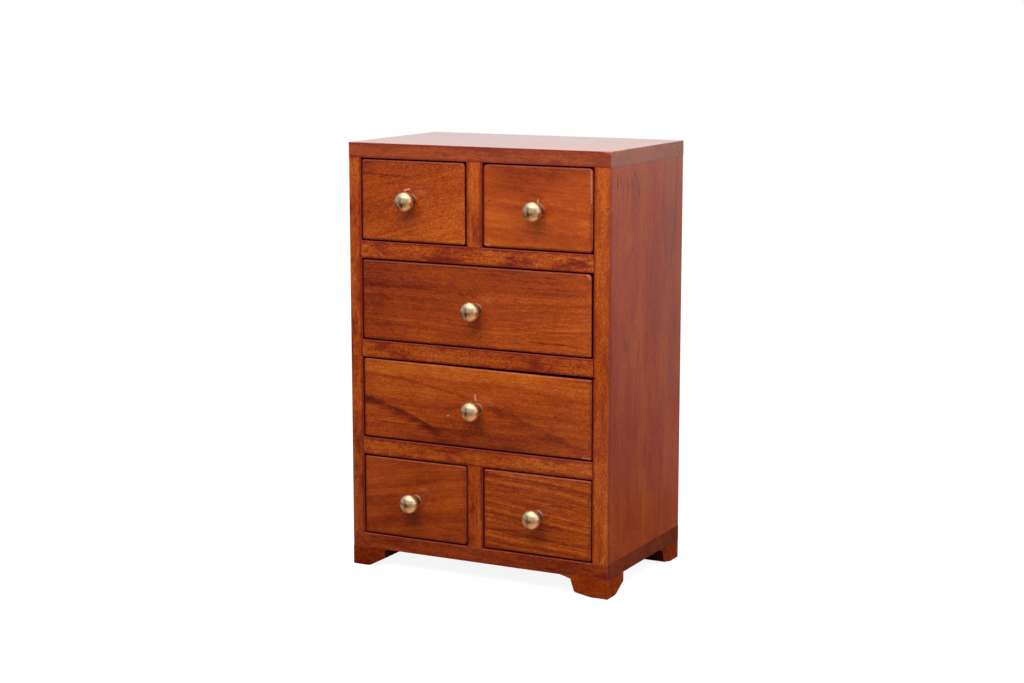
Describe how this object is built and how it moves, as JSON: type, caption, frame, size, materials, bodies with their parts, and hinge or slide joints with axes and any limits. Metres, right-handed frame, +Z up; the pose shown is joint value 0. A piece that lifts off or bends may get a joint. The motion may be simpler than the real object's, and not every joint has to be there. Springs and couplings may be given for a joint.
{
  "type": "desktop mini drawers",
  "caption": "Small free-standing wooden chest of drawers for a desk, with sliding drawers for craft parts, round brass knobs and low bracket feet.",
  "frame": {"origin": "under the middle of the whole object, knobs included, on the surface that its feet stand on", "axes": "+Z up, -Y towards the front that carries the knobs, +X to the right when facing the front"},
  "size_m": [0.1992, 0.1368, 0.3],
  "materials": {
    "case_wood": "red-brown stained hardwood, satin lacquer",
    "front_wood": "orange-brown stained hardwood, satin lacquer",
    "box_wood": "planed hardwood, thinly stained, no lacquer",
    "plywood": "thin plywood, thinly stained",
    "dowel_wood": "bare beech",
    "brass": "polished",
    "steel": "bright drawn"
  },
  "bodies": {
    "case": {"top_board": "case_wood", "bottom_board": "case_wood", "left_side": "case_wood", "right_side": "case_wood", "upper_shelf": "case_wood", "middle_shelf": "case_wood", "lower_shelf": "case_wood", "upper_partition": "case_wood", "lower_partition": "case_wood", "back_panel": "plywood", "front_left_foot": "case_wood", "front_right_foot": "case_wood", "back_left_foot": "case_wood", "back_right_foot": "case_wood", "case_dowels": "dowel_wood", "back_panel_pins": "steel", "foot_screws": "steel"},
    "upper_left_drawer": {"upper_left_front": "front_wood", "upper_left_box_left": "box_wood", "upper_left_box_right": "box_wood", "upper_left_box_back": "box_wood", "upper_left_bottom": "plywood", "upper_left_nails": "steel", "upper_left_knob": "brass"},
    "upper_right_drawer": {"upper_right_front": "front_wood", "upper_right_box_left": "box_wood", "upper_right_box_right": "box_wood", "upper_right_box_back": "box_wood", "upper_right_bottom": "plywood", "upper_right_nails": "steel", "upper_right_knob": "brass"},
    "second_drawer": {"second_front": "front_wood", "second_box_left": "box_wood", "second_box_right": "box_wood", "second_box_back": "box_wood", "second_bottom": "plywood", "second_nails": "steel", "second_knob": "brass"},
    "third_drawer": {"third_front": "front_wood", "third_box_left": "box_wood", "third_box_right": "box_wood", "third_box_back": "box_wood", "third_bottom": "plywood", "third_nails": "steel", "third_knob": "brass"},
    "lower_left_drawer": {"lower_left_front": "front_wood", "lower_left_box_left": "box_wood", "lower_left_box_right": "box_wood", "lower_left_box_back": "box_wood", "lower_left_bottom": "plywood", "lower_left_nails": "steel", "lower_left_knob": "brass"},
    "lower_right_drawer": {"lower_right_front": "front_wood", "lower_right_box_left": "box_wood", "lower_right_box_right": "box_wood", "lower_right_box_back": "box_wood", "lower_right_bottom": "plywood", "lower_right_nails": "steel", "lower_right_knob": "brass"}
  },
  "joints": [
    {"name": "upper_left_slide", "type": "slide", "parent": "case", "child": "upper_left_drawer", "axis": [0, -1, 0], "range_m": [0, 0.09]},
    {"name": "upper_right_slide", "type": "slide", "parent": "case", "child": "upper_right_drawer", "axis": [0, -1, 0], "range_m": [0, 0.09]},
    {"name": "second_slide", "type": "slide", "parent": "case", "child": "second_drawer", "axis": [0, -1, 0], "range_m": [0, 0.09]},
    {"name": "third_slide", "type": "slide", "parent": "case", "child": "third_drawer", "axis": [0, -1, 0], "range_m": [0, 0.09]},
    {"name": "lower_left_slide", "type": "slide", "parent": "case", "child": "lower_left_drawer", "axis": [0, -1, 0], "range_m": [0, 0.09]},
    {"name": "lower_right_slide", "type": "slide", "parent": "case", "child": "lower_right_drawer", "axis": [0, -1, 0], "range_m": [0, 0.09]}
  ]
}
